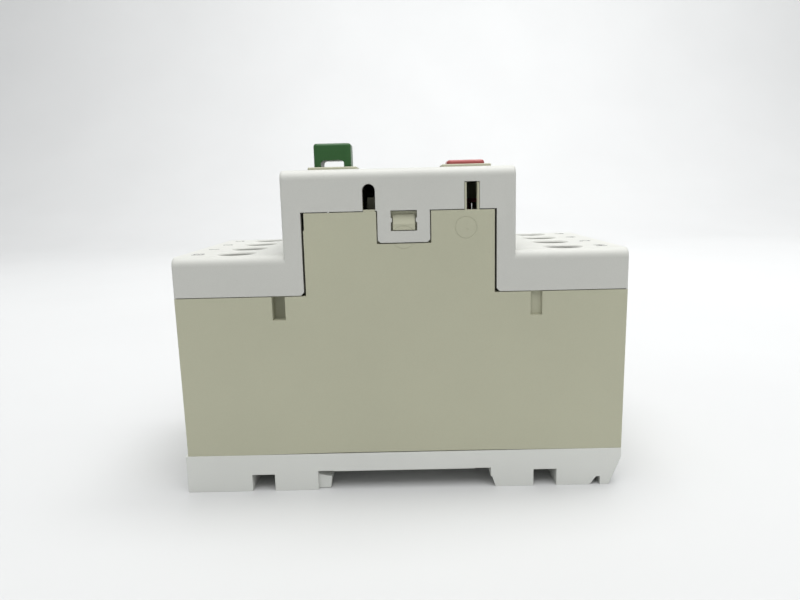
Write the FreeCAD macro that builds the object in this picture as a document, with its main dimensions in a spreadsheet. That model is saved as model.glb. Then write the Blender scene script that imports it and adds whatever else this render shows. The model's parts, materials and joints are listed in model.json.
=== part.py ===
import FreeCAD, Part
import math
import os
import re
import Sketcher
from FreeCAD import Placement, Rotation, Vector

# Motor protection breaker: a push-button manual motor starter for a 35 mm mounting rail.
# Frame: +X runs along the body from the line side to the load side, +Y across the poles,
# +Z from the rail to the buttons. The origin is under the middle of the bottom face.
# The buttons stand in the off position: start is out, stop is in.

SHEET = "Dims"

DIMENSIONS = [
    # the outside, as seen on the side face
    ("half_depth", 22.5, "base: half depth across the poles"),
    ("shell_depth", 22.4, "casing and cover: half depth across the poles"),
    ("bit", 0.1, "small overlap where two features of one piece join"),
    ("over", 1.0, "how far a cut runs past the face that it starts from"),
    ("base_left", 44.3, "base: left end from the middle"),
    ("base_right", 43.85, "base: right end from the middle"),
    ("base_high", 7.72, "base: height"),
    ("base_floor", 5.76, "base: inner floor above the rail slot"),
    ("base_edge", 0.35, "base: radius of the upright edges"),
    ("casing_foot", 43.8, "casing: half length at its foot"),
    ("casing_half", 43.98, "casing: half length at its top"),
    ("parting", 40.06, "height of the seam between casing and cover"),
    ("casing_edge", 0.2, "casing: radius of the upright edges"),
    ("foot_bow", 0.18, "casing: rise of the middle of its lower edge"),
    ("bow_left", 32.0, "casing: left end of that rise"),
    ("bow_right", 36.0, "casing: right end of that rise"),
    ("bow_middle", 13.0, "casing: half width of the risen middle"),
    ("tongue_half", 18.25, "casing: half width of the side tongue"),
    ("tongue_top", 55.98, "casing: top of the side tongue"),
    ("nook_left", 18.05, "casing: left edge of the tongue above its upper corner nook"),
    ("nook_low", 52.7, "casing: lower end of the corner nook"),
    ("cover_half", 44.05, "cover: half length over both wings"),
    ("wing_top", 48.12, "cover: top of the wings"),
    ("tower_half", 22.3, "cover: half width of the tower"),
    ("tower_top", 64.07, "cover: top of the tower"),
    ("brow_round", 1.8, "cover: radius of the upper edges along the sides"),
    ("end_round", 0.5, "cover: radius round the end faces"),
    ("seam", 0.14, "cover: gap of the seam along the side faces"),
    ("leg_corner", 0.6, "cover: bevel of the corners beside the side cut-out"),
    ("cutout_half", 18.65, "cover: half width of the side cut-out"),
    ("cutout_top", 56.13, "cover: top of the side cut-out"),
    ("casing_wall", 2.0, "casing: wall"),
    ("cover_wall", 1.8, "cover: wall"),
    # rail slot and the notches in the foot
    ("slot_roof", 3.96, "rail slot: roof, where the rail bears"),
    ("slot_left", 17.55, "rail slot: left wall"),
    ("slot_right", 17.5, "rail slot: right wall"),
    ("lip_high", 2.2, "rail slot: height of the undercut in the right wall"),
    ("lip_set", 0.25, "rail slot: depth of that undercut at its top"),
    ("lip_lean", 1.0, "rail slot: depth of that undercut at the ground"),
    ("seat_half", 14.3, "rail seat pad: half width"),
    ("seat_relief", 0.1, "relief of the slot roof beside the seat pad"),
    ("hook_root", 3.15, "fixed hook: height at its root"),
    ("hook_tip_high", 2.55, "fixed hook: height at its tip"),
    ("hook_tip", 14.85, "fixed hook: tip from the middle"),
    ("hook_low", 0.1, "fixed hook: underside above the ground"),
    ("hook_slope", 0.3, "fixed hook: lean of its tip face"),
    ("hook_setback", 0.8, "fixed hook: set back from the side faces"),
    ("notch_roof", 3.5, "mounting notches: roof"),
    ("notch_left_out", 31.0, "left notch: outer wall"),
    ("notch_left_in", 26.4, "left notch: inner wall"),
    ("notch_right_in", 26.15, "right notch: inner wall"),
    ("notch_right_out", 30.8, "right notch: outer wall"),
    ("nick_in", 37.6, "small nick: inner wall"),
    ("nick_out", 39.65, "small nick: outer wall"),
    ("nick_high", 1.7, "small nick: height"),
    ("nick_flat", 0.8, "small nick: width of its flat roof"),
    ("toe_in", 41.4, "right toe: where its slope meets the ground"),
    ("toe_high", 6.05, "right toe: top of its slope"),
    # base rim and base screws
    ("rim_half_long", 41.5, "base rim: half length"),
    ("rim_half_deep", 20.35, "base rim: half depth"),
    ("rim_wall", 1.2, "base rim: wall"),
    ("rim_top", 9.4, "base rim: top"),
    ("screw_left", 37.5, "base screws: left pair from the middle"),
    ("screw_right", 34.2, "base screws: right pair from the middle"),
    ("screw_side", 16.5, "base screws: from the middle plane"),
    ("screw_shank", 1.1, "base screws: shank radius"),
    ("screw_head", 1.9, "base screws: head radius"),
    ("screw_head_low", 0.4, "base screws: lowest point of the head"),
    ("screw_head_top", 2.2, "base screws: seat of the head"),
    ("screw_slot", 0.3, "base screws: half width of the driver slot"),
    ("screw_slot_deep", 0.8, "base screws: depth of the driver slot"),
    ("screw_play", 0.05, "base screws: play of the shank in the base"),
    ("screw_head_play", 0.2, "base screws: play of the head in the base"),
    ("screw_top", 14.5, "base screws: end of the shank"),
    ("boss_radius", 2.4, "casing boss: radius"),
    ("boss_low", 9.6, "casing boss: lower end"),
    ("boss_top", 16.0, "casing boss: upper end"),
    ("boss_rib", 1.2, "casing boss: half thickness of the rib to the wall"),
    # rail clip
    ("clip_half", 9.0, "rail clip: half width of the bar"),
    ("clip_wing", 10.5, "rail clip: half width over its guide flanges"),
    ("clip_low", 0.3, "rail clip: underside"),
    ("clip_flange_low", 2.0, "rail clip: underside of the guide flanges"),
    ("clip_top", 3.0, "rail clip: top"),
    ("clip_back", 18.2, "rail clip: root of the nose"),
    ("clip_nose", 14.9, "rail clip: tip of the nose"),
    ("clip_nose_top", 2.7, "rail clip: top of the nose"),
    ("clip_end", 44.3, "rail clip: end of the pull tab"),
    ("clip_step", 0.9, "rail clip: end of the bar before the pull tab's end"),
    ("clip_flange_end", 3.0, "rail clip: end of the flanges before the pull tab's end"),
    ("nose_slope", 0.5, "rail clip: slope of the nose"),
    ("pull_half", 5.0, "rail clip: half width of the pull tab"),
    ("pull_long", 2.0, "rail clip: length of the pull tab"),
    ("pull_hole_out", 2.4, "rail clip: outer edge of the driver slot from the end"),
    ("pull_hole_in", 4.6, "rail clip: inner edge of the driver slot from the end"),
    ("pull_hole_half", 2.6, "rail clip: half width of the driver slot"),
    ("arm_in", 2.4, "rail clip: inner side of the slits from the bar's side"),
    ("arm_out", 1.6, "rail clip: outer side of the slits from the bar's side"),
    ("slit_start", 4.0, "rail clip: start of the slits behind the nose root"),
    ("slit_end", 9.0, "rail clip: end of the slits before the pull tab's end"),
    ("clip_play", 0.2, "rail clip: play in its channel"),
    # side details of the casing
    ("groove_deep", 0.8, "right casing groove: depth"),
    ("pit_deep", 2.9, "left casing groove: depth"),
    ("pit_wall", 0.5, "left casing groove: wall round it inside the casing"),
    ("groove_low", 35.4, "casing grooves: lower end"),
    ("groove_left_out", 25.0, "left casing groove: outer wall"),
    ("groove_left_in", 22.45, "left casing groove: inner wall"),
    ("groove_right_in", 25.25, "right casing groove: inner wall"),
    ("groove_right_out", 27.45, "right casing groove: outer wall"),
    ("ring_deep", 0.04, "ejector ring marks: depth"),
    ("ring_wide", 0.22, "ejector ring marks: width"),
    ("tab_left", 4.05, "cover tab: left edge from the middle"),
    ("tab_right", 5.95, "cover tab: right edge from the middle"),
    ("tab_low", 50.05, "cover tab: lower edge"),
    ("tab_thick", 1.0, "cover tab: thickness"),
    ("tab_gap", 0.2, "gap round the cover tab"),
    ("window_left", 1.5, "tab window: left edge from the middle"),
    ("window_right", 3.5, "tab window: right edge from the middle"),
    ("window_low", 52.25, "tab window: lower edge"),
    ("lug_left", 1.1, "snap lug: left edge from the middle"),
    ("lug_right", 3.1, "snap lug: right edge from the middle"),
    ("lug_low", 52.4, "snap lug: catch face"),
    ("lug_top", 55.4, "snap lug: top of its ramp"),
    ("lug_ramp", 1.2, "snap lug: height of its catch before the ramp"),
    ("slit_left", 6.79, "round slot: left edge from the middle"),
    ("slit_right", 4.36, "round slot: right edge from the middle"),
    ("slit_top", 61.2, "round slot: top"),
    ("port_left", 12.5, "square slot: left edge"),
    ("port_right", 15.4, "square slot: right edge"),
    ("port_top", 61.25, "square slot: top"),
    ("port_rim", 0.4, "square slot: wall of the casing rim in it"),
    ("rim_play", 0.05, "square slot: play beside the rim walls"),
    ("bracket_in", 2.6, "inner stop bracket: right edge from the middle"),
    ("bracket_out", 6.2, "inner stop bracket: left edge from the middle"),
    ("bracket_reach", 6.0, "inner stop bracket: how far it stands in from the wall"),
    ("bracket_thick", 1.5, "inner stop bracket: thickness"),
    ("bracket_top", 58.6, "inner stop bracket: top"),
    ("bracket_root", 2.0, "inner stop bracket: root below the tongue's top"),
    ("bracket_floor", 0.6, "inner stop bracket: shelf below the tongue's top"),
    ("far_rib", 1.3, "rib behind the far tongue: height over the cut-out's top"),
    ("far_rib_thick", 1.0, "rib behind the far tongue: thickness"),
    ("port_root", 0.5, "rim walls and lip: root below the tongue's top"),
    ("lip_rise", 0.25, "lip in the round slot: height over the cut-out's top"),
    # poles, terminals and wire entries
    ("pole_pitch", 11.3, "distance between poles"),
    ("terminal_place", 32.6, "terminal screws: from the middle"),
    ("driver_hole", 3.6, "screwdriver holes: radius"),
    ("hole_edge", 0.3, "screwdriver holes: chamfer"),
    ("collar_radius", 4.5, "screwdriver hole collars: outer radius"),
    ("collar_low", 42.0, "screwdriver hole collars: lower end"),
    ("entry_half", 3.6, "wire entries: half width"),
    ("entry_low", 28.0, "wire entries: lower edge"),
    ("entry_top", 36.0, "wire entries: upper edge"),
    ("strip_half", 2.4, "terminal strips: half width"),
    ("strip_thick", 1.2, "terminal strips: thickness"),
    ("strip_low", 35.5, "terminal strips: underside"),
    ("strip_out", 37.6, "terminal strips: outer end"),
    ("strip_in", 25.8, "terminal strips: inner face of the down leg"),
    ("strip_gap", 0.6, "terminal strips: gap between an arm and the carrier"),
    ("foot_reach", 0.6, "load terminals: foot beyond the bimetal"),
    ("cage_out", 36.2, "clamp cages: outer face"),
    ("cage_in", 29.0, "clamp cages: inner face"),
    ("cage_half", 3.35, "clamp cages: half width"),
    ("cage_wall", 0.9, "clamp cages: wall"),
    ("cage_low", 27.6, "clamp cages: underside"),
    ("cage_top", 38.6, "clamp cages: top"),
    ("post_radius", 1.7, "terminal screws: shank radius"),
    ("post_head", 2.9, "terminal screws: head radius"),
    ("post_top", 41.3, "terminal screws: top of the head"),
    ("post_slot", 0.45, "terminal screws: half width of the driver slot"),
    ("post_slot_deep", 1.1, "terminal screws: depth of the driver slot"),
    ("post_play", 0.05, "terminal screws: play in the cages"),
    # contacts, all centred on the contact carrier
    ("carrier_place", 7.2, "contact carrier: left of the middle"),
    ("tip_reach", 4.5, "contact tips: from the carrier's middle"),
    ("tip_radius", 1.4, "contact tips: radius"),
    ("tip_thick", 0.75, "contact tips: thickness"),
    ("contact_gap", 2.25, "contact gap in the off position"),
    ("bridge_half", 5.9, "contact bridges: half length"),
    ("bridge_thick", 1.0, "contact bridges: thickness"),
    ("stem_half", 1.8, "contact carrier: half width of a stem"),
    ("stem_side", 3.2, "contact carrier: half depth of a stem"),
    ("stem_window", 2.55, "contact carrier: half depth of a stem window"),
    ("stem_low", 26.9, "contact carrier: lower end of the stems"),
    ("window_top", 32.6, "contact carrier: top of the stem windows"),
    ("beam_top", 36.6, "contact carrier: top of the beam"),
    ("beam_half", 19.9, "contact carrier: half length of the beam"),
    ("push_top", 49.85, "contact carrier: top of the push rod"),
    ("push_half", 0.9, "contact carrier: half width of the push rod"),
    ("push_side", 2.0, "contact carrier: half depth of the push rod"),
    ("chute_left", 20.5, "arc chutes: left face"),
    ("chute_right", 5.5, "arc chutes: right face"),
    ("chute_low", 9.8, "arc chutes: underside"),
    ("chute_top", 21.8, "arc chutes: top"),
    ("chute_half", 3.4, "arc chutes: half width"),
    ("cheek", 0.6, "arc chutes: thickness of the fibre cheeks"),
    ("fin", 0.9, "arc chutes: thickness of a steel plate"),
    # magnetic and thermal release
    ("coil_place", 8.0, "trip coils: from the middle"),
    ("coil_radius", 2.75, "trip coils: radius of the winding"),
    ("coil_wire", 0.5, "trip coils: radius of the wire"),
    ("bobbin_low", 9.6, "bobbins: underside"),
    ("bobbin_top", 22.0, "bobbins: top"),
    ("bobbin_flange", 3.35, "bobbins: flange radius"),
    ("bobbin_tube", 2.2, "bobbins: outer radius of the tube"),
    ("bobbin_bore", 1.4, "bobbins: bore radius"),
    ("flange_thick", 1.0, "bobbins: thickness of a flange"),
    ("coil_inset", 2.0, "trip coils: from the ends of the bobbin"),
    ("plunger_play", 0.08, "plungers: radial play in the bobbin"),
    ("plunger_low", 10.4, "plungers: lower end"),
    ("plunger_top", 20.0, "plungers: shoulder"),
    ("rod_radius", 0.6, "plungers: rod radius"),
    ("rod_top", 36.9, "plungers: top of the rod"),
    ("bar_place", 15.2, "trip bar: axis from the middle"),
    ("bar_high", 38.0, "trip bar: axis height"),
    ("bar_radius", 1.2, "trip bar: shaft radius"),
    ("bar_play", 0.06, "trip bar: radial play in its bearings"),
    ("arm_half", 1.2, "trip bar: half width of an arm"),
    ("arm_thick", 0.8, "trip bar: arm below the axis"),
    ("arm_past", 0.9, "trip bar: arm past the plunger's middle"),
    ("tail_half", 1.6, "trip bar: half width of a tail and of the catch"),
    ("tail_thick", 0.6, "trip bar: half thickness of a tail"),
    ("tail_long", 6.6, "trip bar: length of a tail"),
    ("bar_clear", 4.0, "partitions: half width of the opening for the trip bar"),
    ("bar_drop", 9.0, "partitions: depth of that opening below the axis"),
    ("bimetal_left", 21.0, "bimetals: left face"),
    ("bimetal_thick", 0.9, "bimetals: thickness"),
    ("bimetal_low", 12.0, "bimetals: foot"),
    ("bimetal_top", 34.0, "bimetals: free end"),
    ("bimetal_half", 1.5, "bimetals: half width"),
    ("heater_radius", 2.2, "heater windings: radius"),
    ("heater_wire", 0.35, "heater windings: wire radius"),
    # partitions and mechanism
    ("wall_half", 0.6, "pole partitions: half thickness"),
    ("wall_end", 41.3, "pole partitions: half length"),
    ("wall_low", 5.9, "pole partitions: lower edge"),
    ("wall_top", 39.9, "pole partitions: upper edge"),
    ("frame_low", 40.1, "mechanism frame: underside"),
    ("frame_sheet", 1.0, "mechanism frame: sheet thickness"),
    ("frame_half", 10.0, "mechanism frame: half length"),
    ("frame_inside", 6.0, "mechanism frame: half width between the cheeks"),
    ("frame_top", 52.8, "mechanism frame: top of the cheeks"),
    ("pivot_high", 50.0, "rocker: pivot height"),
    ("pin_radius", 1.0, "rocker pin: radius"),
    ("pin_play", 0.05, "rocker: radial play on its pin"),
    ("pin_edge", 0.25, "rocker pin: chamfer"),
    ("pin_end", 0.4, "rocker pin: how far it stands out of the cheeks"),
    ("rocker_arm", 14.6, "rocker: pivot to roller"),
    ("rocker_half", 0.9, "rocker: half thickness of the arms"),
    ("roller_radius", 1.2, "rocker: radius of the rounded ends"),
    ("rocker_side", 2.5, "rocker: half depth"),
    ("rocker_hub", 2.2, "rocker: hub radius"),
    ("rocker_tilt", 8.63, "rocker: tilt in the off position, in degrees"),
    ("roller_lift", 2.191, "rocker: height of a roller above the pivot in the off position"),
    ("latch_place", 5.0, "latch lever: pivot from the middle"),
    ("latch_high", 43.6, "latch lever: pivot height"),
    ("latch_pin", 0.9, "latch lever: trunnion radius"),
    ("latch_end", 14.3, "latch lever: catch end from the middle"),
    ("latch_half", 1.8, "latch lever: half width"),
    ("latch_thick", 0.6, "latch lever: half thickness"),
    ("hub_gap", 0.3, "hubs: gap to the cheeks of the mechanism frame"),
    # buttons, bezels and dial
    ("start_place", 14.15, "start button: left of the middle"),
    ("stop_place", 14.7, "stop button: right of the middle"),
    ("button_half", 4.05, "buttons: half width"),
    ("button_side", 3.3, "buttons: half depth"),
    ("button_high", 9.2, "buttons: height of the cap"),
    ("button_round", 0.9, "buttons: radius of the corners"),
    ("button_edge", 0.6, "buttons: radius of the top edge"),
    ("start_top", 70.2, "start button: top in the off position"),
    ("stop_top", 66.06, "stop button: top in the off position"),
    ("lock_half", 2.5, "padlock slot: half width"),
    ("lock_top", 66.6, "padlock slot: ceiling"),
    ("lock_low", 62.6, "padlock slot: floor"),
    ("lock_corner", 0.7, "padlock slot: radius of the ceiling corners"),
    ("sign_deep", 0.3, "signs on the buttons: depth"),
    ("sign_wide", 0.5, "signs on the buttons: line width"),
    ("sign_half", 1.3, "signs on the buttons: half size"),
    ("stem_radius", 1.5, "button stems: radius"),
    ("stem_gap", 0.16, "gap between a stem and the rocker"),
    ("bezel_half", 5.3, "bezels: half width of the flange"),
    ("bezel_side", 4.6, "bezels: half depth of the flange"),
    ("bezel_top", 65.15, "bezels: top"),
    ("bezel_wall", 0.65, "bezels: wall of the collar"),
    ("bezel_low", 57.8, "bezels: lower end of the collar"),
    ("bezel_play", 0.2, "bezels: play round the button"),
    ("bezel_corner", 0.5, "bezels: radius of the corners"),
    ("bezel_edge", 0.25, "bezels: radius of the top edges"),
    ("dial_radius", 4.3, "current dial: radius"),
    ("dial_top", 63.9, "current dial: top"),
    ("dial_low", 60.6, "current dial: underside of the head"),
    ("dial_stem", 1.5, "current dial: stem radius"),
    ("dial_edge", 0.35, "current dial: chamfer"),
    ("dial_slot_half", 0.55, "current dial: half width of the slot"),
    ("dial_slot_long", 3.2, "current dial: half length of the slot"),
    ("dial_slot_deep", 1.4, "current dial: depth of the slot"),
    ("dial_play", 0.2, "current dial: play in its cup"),
    ("dial_stem_play", 0.06, "current dial: play of the stem"),
    ("cam_low", 53.6, "dial cam: underside"),
    ("cam_top", 55.0, "dial cam: top"),
    ("cam_radius", 1.6, "dial cam: smallest radius"),
    ("cam_rise", 1.5, "dial cam: rise over the working turn"),
    ("cam_turn", 270, "dial cam: working turn, in degrees"),
    ("cup_wall", 1.0, "dial cup of the cover: wall"),
    ("slide_gap", 0.15, "gap between the cam and the setting slide"),
    ("slide_edge", 0.3, "setting slide: radius of the upright edges"),
    ("slide_face", 2.6, "setting slide: length of the face plate"),
    ("slide_low_side", 1.6, "setting slide: its side towards -Y"),
    ("slide_arm_low", 3.0, "setting slide: near side of the arm"),
    ("slide_arm_high", 6.0, "setting slide: far side of the arm"),
    ("slide_end", 18.0, "setting slide: right end"),
    ("slide_leg", 1.3, "setting slide: thickness of the leg"),
    ("slide_leg_gap", 0.8, "setting slide: leg above the mechanism frame"),
]

doc = FreeCAD.newDocument("MotorProtectionBreaker")
sheet = doc.addObject("Spreadsheet::Sheet", SHEET)
for row, (alias, value, meaning) in enumerate(DIMENSIONS, start=1):
    sheet.set("A%d" % row, alias)
    sheet.set("B%d" % row, str(value))
    sheet.set("C%d" % row, meaning)
    sheet.setAlias("B%d" % row, alias)
doc.recompute()

SIZES = {alias: value for alias, value, meaning in DIMENSIONS}
NODES = []

# Poles: the auxiliary pole and three main poles, from -Y to +Y.
AUX_POLE = "-pole_pitch*3/2"
MAIN_POLES = ["-pole_pitch/2", "pole_pitch/2", "pole_pitch*3/2"]
ALL_POLES = [AUX_POLE] + MAIN_POLES


# ---------------------------------------------------------------- modelling helpers

def formula(text):
    """Point each dimension name in a formula at its cell in the sheet."""
    return re.sub(r"[a-z][a-z_]*", lambda name: SHEET + "." + name.group(), str(text))


def bind(item, place, text):
    """Bind one property of an object to a formula in dimension names."""
    item.setExpression(place, formula(text))


def span(low, high):
    """The formula of the distance from low to high."""
    return "(%s)-(%s)" % (high, low)


def rectangle(left, right, low, high):
    """The corners of an upright rectangle."""
    return [(left, low), (right, low), (right, high), (left, high)]


def around(middle, half):
    """The two limits that lie half to either side of a middle."""
    return "%s-(%s)" % (middle, half), "%s+(%s)" % (middle, half)


def circle(across, up, radius):
    """A circle in a sketch: its centre and its radius."""
    return ("circle", across, up, radius)


def new_body(label):
    """Start a sub-part; a body may end as a group of loose solids."""
    body = doc.addObject("PartDesign::Body", label)
    body.Label = label
    body.AllowCompound = True
    NODES.append(body)
    return body


def origin_plane(body, role):
    return [item for item in body.Origin.OriginFeatures if item.Role == role][0]


def draw_polygon(sketch, corners):
    """Draw a closed outline; the constraints move its corners to their formulas."""
    count = len(corners)
    first = sketch.GeometryCount
    rough = [Vector(math.cos(2 * math.pi * n / count), math.sin(2 * math.pi * n / count), 0)
             for n in range(count)]
    for number in range(count):
        sketch.addGeometry(Part.LineSegment(rough[number], rough[(number + 1) % count]), False)
    for number in range(count):
        line = first + number
        following = first + (number + 1) % count
        sketch.addConstraint(Sketcher.Constraint("Coincident", line, 2, following, 1))
    for number, place in enumerate(corners):
        for kind, start, text in zip(("DistanceX", "DistanceY"), rough[number][:2], place):
            made = sketch.addConstraint(Sketcher.Constraint(kind, -1, 1, first + number, 1, start))
            bind(sketch, "Constraints[%d]" % made, text)


def draw_circle(sketch, across, up, radius):
    """Draw a circle whose centre and radius are formulas."""
    number = sketch.addGeometry(Part.Circle(Vector(1, 1, 0), Vector(0, 0, 1), 1), False)
    made = sketch.addConstraint(Sketcher.Constraint("Radius", number, 1))
    bind(sketch, "Constraints[%d]" % made, radius)
    for kind, text in (("DistanceX", across), ("DistanceY", up)):
        made = sketch.addConstraint(Sketcher.Constraint(kind, -1, 1, number, 3, 1))
        bind(sketch, "Constraints[%d]" % made, text)


def sweep_straight(body, kind, plane, low, high, loops):
    """Make a Pad or a Pocket from low to high along the axis across the plane."""
    sketch = body.newObject("Sketcher::SketchObject", body.Label + "_outline")
    sketch.AttachmentSupport = (origin_plane(body, plane + "_Plane"), [""])
    sketch.MapMode = "FlatFace"
    # the normal of the XZ plane is -Y, so its sketches start at the high end
    bind(sketch, "AttachmentOffset.Base.z", "-(%s)" % high if plane == "XZ" else low)
    for loop in loops:
        if loop[0] == "circle":
            draw_circle(sketch, *loop[1:])
        else:
            draw_polygon(sketch, loop)
    feature = body.newObject("PartDesign::" + kind, body.Label + "_" + kind.lower())
    feature.Profile = sketch
    bind(feature, "Length", span(low, high))
    return feature


def pad(body, plane, low, high, *loops):
    """Add material between two planes."""
    sweep_straight(body, "Pad", plane, low, high, loops)


def pocket(body, plane, low, high, *loops):
    """Take material away between two planes, and make sure that some went."""
    doc.recompute()
    before = body.Shape.Volume
    feature = sweep_straight(body, "Pocket", plane, low, high, loops)
    feature.Reversed = True
    doc.recompute()
    if body.Shape.Volume > before - 1e-6:
        raise RuntimeError("a pocket of %s cuts nothing" % body.Label)


def round_off(body, radius, chosen, kind="Fillet"):
    """Fillet or chamfer the edges of the last feature that pass the test."""
    doc.recompute()
    last = body.Tip
    names = ["Edge%d" % number for number, edge in enumerate(last.Shape.Edges, start=1)
             if chosen(edge)]
    feature = body.newObject("PartDesign::" + kind, body.Label + "_" + kind.lower())
    feature.Base = (last, names)
    bind(feature, "Radius" if kind == "Fillet" else "Size", radius)


def runs_along(edge, axis):
    """True if a straight edge runs along the axis, 0 for X, 1 for Y and 2 for Z."""
    ends = [vertex.Point for vertex in edge.Vertexes]
    return len(ends) == 2 and abs((ends[1] - ends[0])[axis]) > 0.999 * edge.Length


def is_circle(edge, radius):
    """True for a full circle of the given radius."""
    size = edge.BoundBox
    widest = max(size.XLength, size.YLength, size.ZLength)
    return len(edge.Vertexes) == 1 and abs(widest - 2 * radius) < 0.01


def middle_of(edge):
    return edge.BoundBox.Center


def place(item, label, across, along, up):
    """Put a primitive at a place given by three formulas."""
    for axis, text in zip("xyz", (across, along, up)):
        bind(item, "Placement.Base." + axis, text)
    item.Label = label
    return item


def join(label, pieces):
    """Fuse pieces into one sub-part."""
    item = doc.addObject("Part::MultiFuse", label)
    item.Shapes = pieces
    item.Label = label
    NODES.append(item)
    return item


def coil(label, across, along, limits, turns, radius, wire):
    """A wire wound about an upright axis, as a swept circle."""
    low, high = limits
    path = doc.addObject("Part::Helix", label + "_path")
    bind(path, "Radius", radius)
    bind(path, "Height", span(low, high))
    bind(path, "Pitch", "(%s)/%s" % (span(low, high), turns))
    place(path, label + "_path", across, along, low)
    section = doc.addObject("Part::Circle", label + "_section")
    section.Placement = Placement(Vector(), Rotation(Vector(1, 0, 0), 90))
    bind(section, "Radius", wire)
    place(section, label + "_section", "%s+%s" % (across, radius), along, low)
    item = doc.addObject("Part::Sweep", label)
    item.Sections = [section]
    item.Spine = (path, [])
    item.Solid = True
    item.Frenet = True
    item.Label = label
    NODES.append(item)


# ---------------------------------------------------------------- base and rail clip

def make_base():
    """The foot: rail slot, fixed hook, clip channel, mounting notches and locating rim."""
    base = new_body("base")
    foot = [
        ("-base_left", "0"), ("-base_left", "base_high"), ("base_right", "base_high"),
        ("base_right", "toe_high"), ("toe_in", "0"), ("nick_out", "0"), ("nick_out", "nick_high"),
        ("nick_out-nick_flat", "nick_high"), ("nick_in", "0"), ("notch_right_out", "0"),
        ("notch_right_out", "notch_roof"), ("notch_right_in", "notch_roof"), ("notch_right_in", "0"),
        ("slot_right+lip_lean", "0"), ("slot_right+lip_set", "lip_high"), ("slot_right", "lip_high"),
        ("slot_right", "slot_roof+seat_relief"), ("seat_half", "slot_roof+seat_relief"),
        ("seat_half", "slot_roof"), ("-seat_half", "slot_roof"),
        ("-seat_half", "slot_roof+seat_relief"), ("-slot_left", "slot_roof+seat_relief"),
        ("-slot_left", "0"), ("-notch_left_in", "0"), ("-notch_left_in", "notch_roof"),
        ("-notch_left_out", "notch_roof"), ("-notch_left_out", "0"),
    ]
    pad(base, "XZ", "-half_depth", "half_depth", foot)
    round_off(base, "base_edge", lambda edge: runs_along(edge, 2) and abs(middle_of(edge).x) > 43)
    hook = [("-slot_left-bit", "hook_low"), ("-slot_left-bit", "hook_root"),
            ("-slot_left", "hook_root"), ("-hook_tip", "hook_tip_high"),
            ("-hook_tip-hook_slope", "hook_low")]
    pad(base, "XZ", "-half_depth+hook_setback", "half_depth-hook_setback", hook)
    pad(base, "XY", "base_high-bit", "rim_top",
        rectangle("-rim_half_long", "rim_half_long", "-rim_half_deep", "rim_half_deep"))
    pocket(base, "XY", "base_floor", "rim_top",
           rectangle("-rim_half_long+rim_wall", "rim_half_long-rim_wall",
                     "-rim_half_deep+rim_wall", "rim_half_deep-rim_wall"))
    channel_half = "clip_half+clip_play"
    pocket(base, "XY", "0", "clip_top+clip_play",
           rectangle("slot_right-bit", "base_left", "-(%s)" % channel_half, channel_half))
    groove_half = "clip_wing+clip_play"
    pocket(base, "XY", "clip_flange_low-clip_play", "clip_top+clip_play",
           rectangle("slot_right-bit", "base_left", "-(%s)" % groove_half, groove_half))
    pocket(base, "XY", "0", "base_high", *screw_circles("screw_shank+screw_play"))
    pocket(base, "XY", "0", "screw_head_top", *screw_circles("screw_head+screw_head_play"))


def screw_circles(radius):
    """One circle at each of the four base screws."""
    return [circle(across, along, radius)
            for across in ("-screw_left", "screw_right")
            for along in ("-screw_side", "screw_side")]


def make_base_screws():
    """Four pan-head screws that hold the base to the casing."""
    screws = new_body("base_screws")
    pad(screws, "XY", "screw_head_low", "screw_head_top", *screw_circles("screw_head"))
    pad(screws, "XY", "screw_head_top-bit", "screw_top", *screw_circles("screw_shank"))
    slots = []
    for across in ("-screw_left", "screw_right"):
        for along in ("-screw_side", "screw_side"):
            slots.append(rectangle(*around(across, "screw_slot"), *around(along, "screw_head+bit")))
    pocket(screws, "XY", "screw_head_low", "screw_head_low+screw_slot_deep", *slots)


def make_din_clip():
    """The sliding clip that holds the loose flange of the rail."""
    clip = new_body("din_clip")
    pad(clip, "XY", "clip_low", "clip_top",
        rectangle("clip_back", "clip_end-clip_step", "-clip_half", "clip_half"))
    pad(clip, "XY", "clip_flange_low", "clip_top",
        rectangle("clip_back", "clip_end-clip_flange_end", "-clip_wing", "clip_wing"))
    nose = [("clip_nose", "clip_low+nose_slope"), ("clip_back+bit", "clip_low"),
            ("clip_back+bit", "clip_nose_top"), ("clip_nose", "clip_nose_top-nose_slope")]
    pad(clip, "XZ", "-clip_half", "clip_half", nose)
    pad(clip, "XY", "clip_low+bit", "clip_top-bit",
        rectangle("clip_end-pull_long", "clip_end", "-pull_half", "pull_half"))
    pocket(clip, "XY", "clip_low", "clip_top",
           rectangle("clip_end-pull_hole_in", "clip_end-pull_hole_out",
                     "-pull_hole_half", "pull_hole_half"))
    # two moulded spring arms, freed by slits along the bar
    for side in ("-1", "1"):
        inner, outer = "%s*(clip_half-arm_in)" % side, "%s*(clip_half-arm_out)" % side
        pocket(clip, "XY", "clip_low", "clip_top",
               rectangle("clip_back+slit_start", "clip_end-slit_end", inner, outer))


# ---------------------------------------------------------------- casing and cover

def both_sides(piece, deep, loops, action):
    """Do the same thing to the outer skin of both side faces."""
    action(piece, "XZ", "-shell_depth", "-shell_depth+%s" % deep, *loops)
    action(piece, "XZ", "shell_depth-%s" % deep, "shell_depth", *loops)


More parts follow.
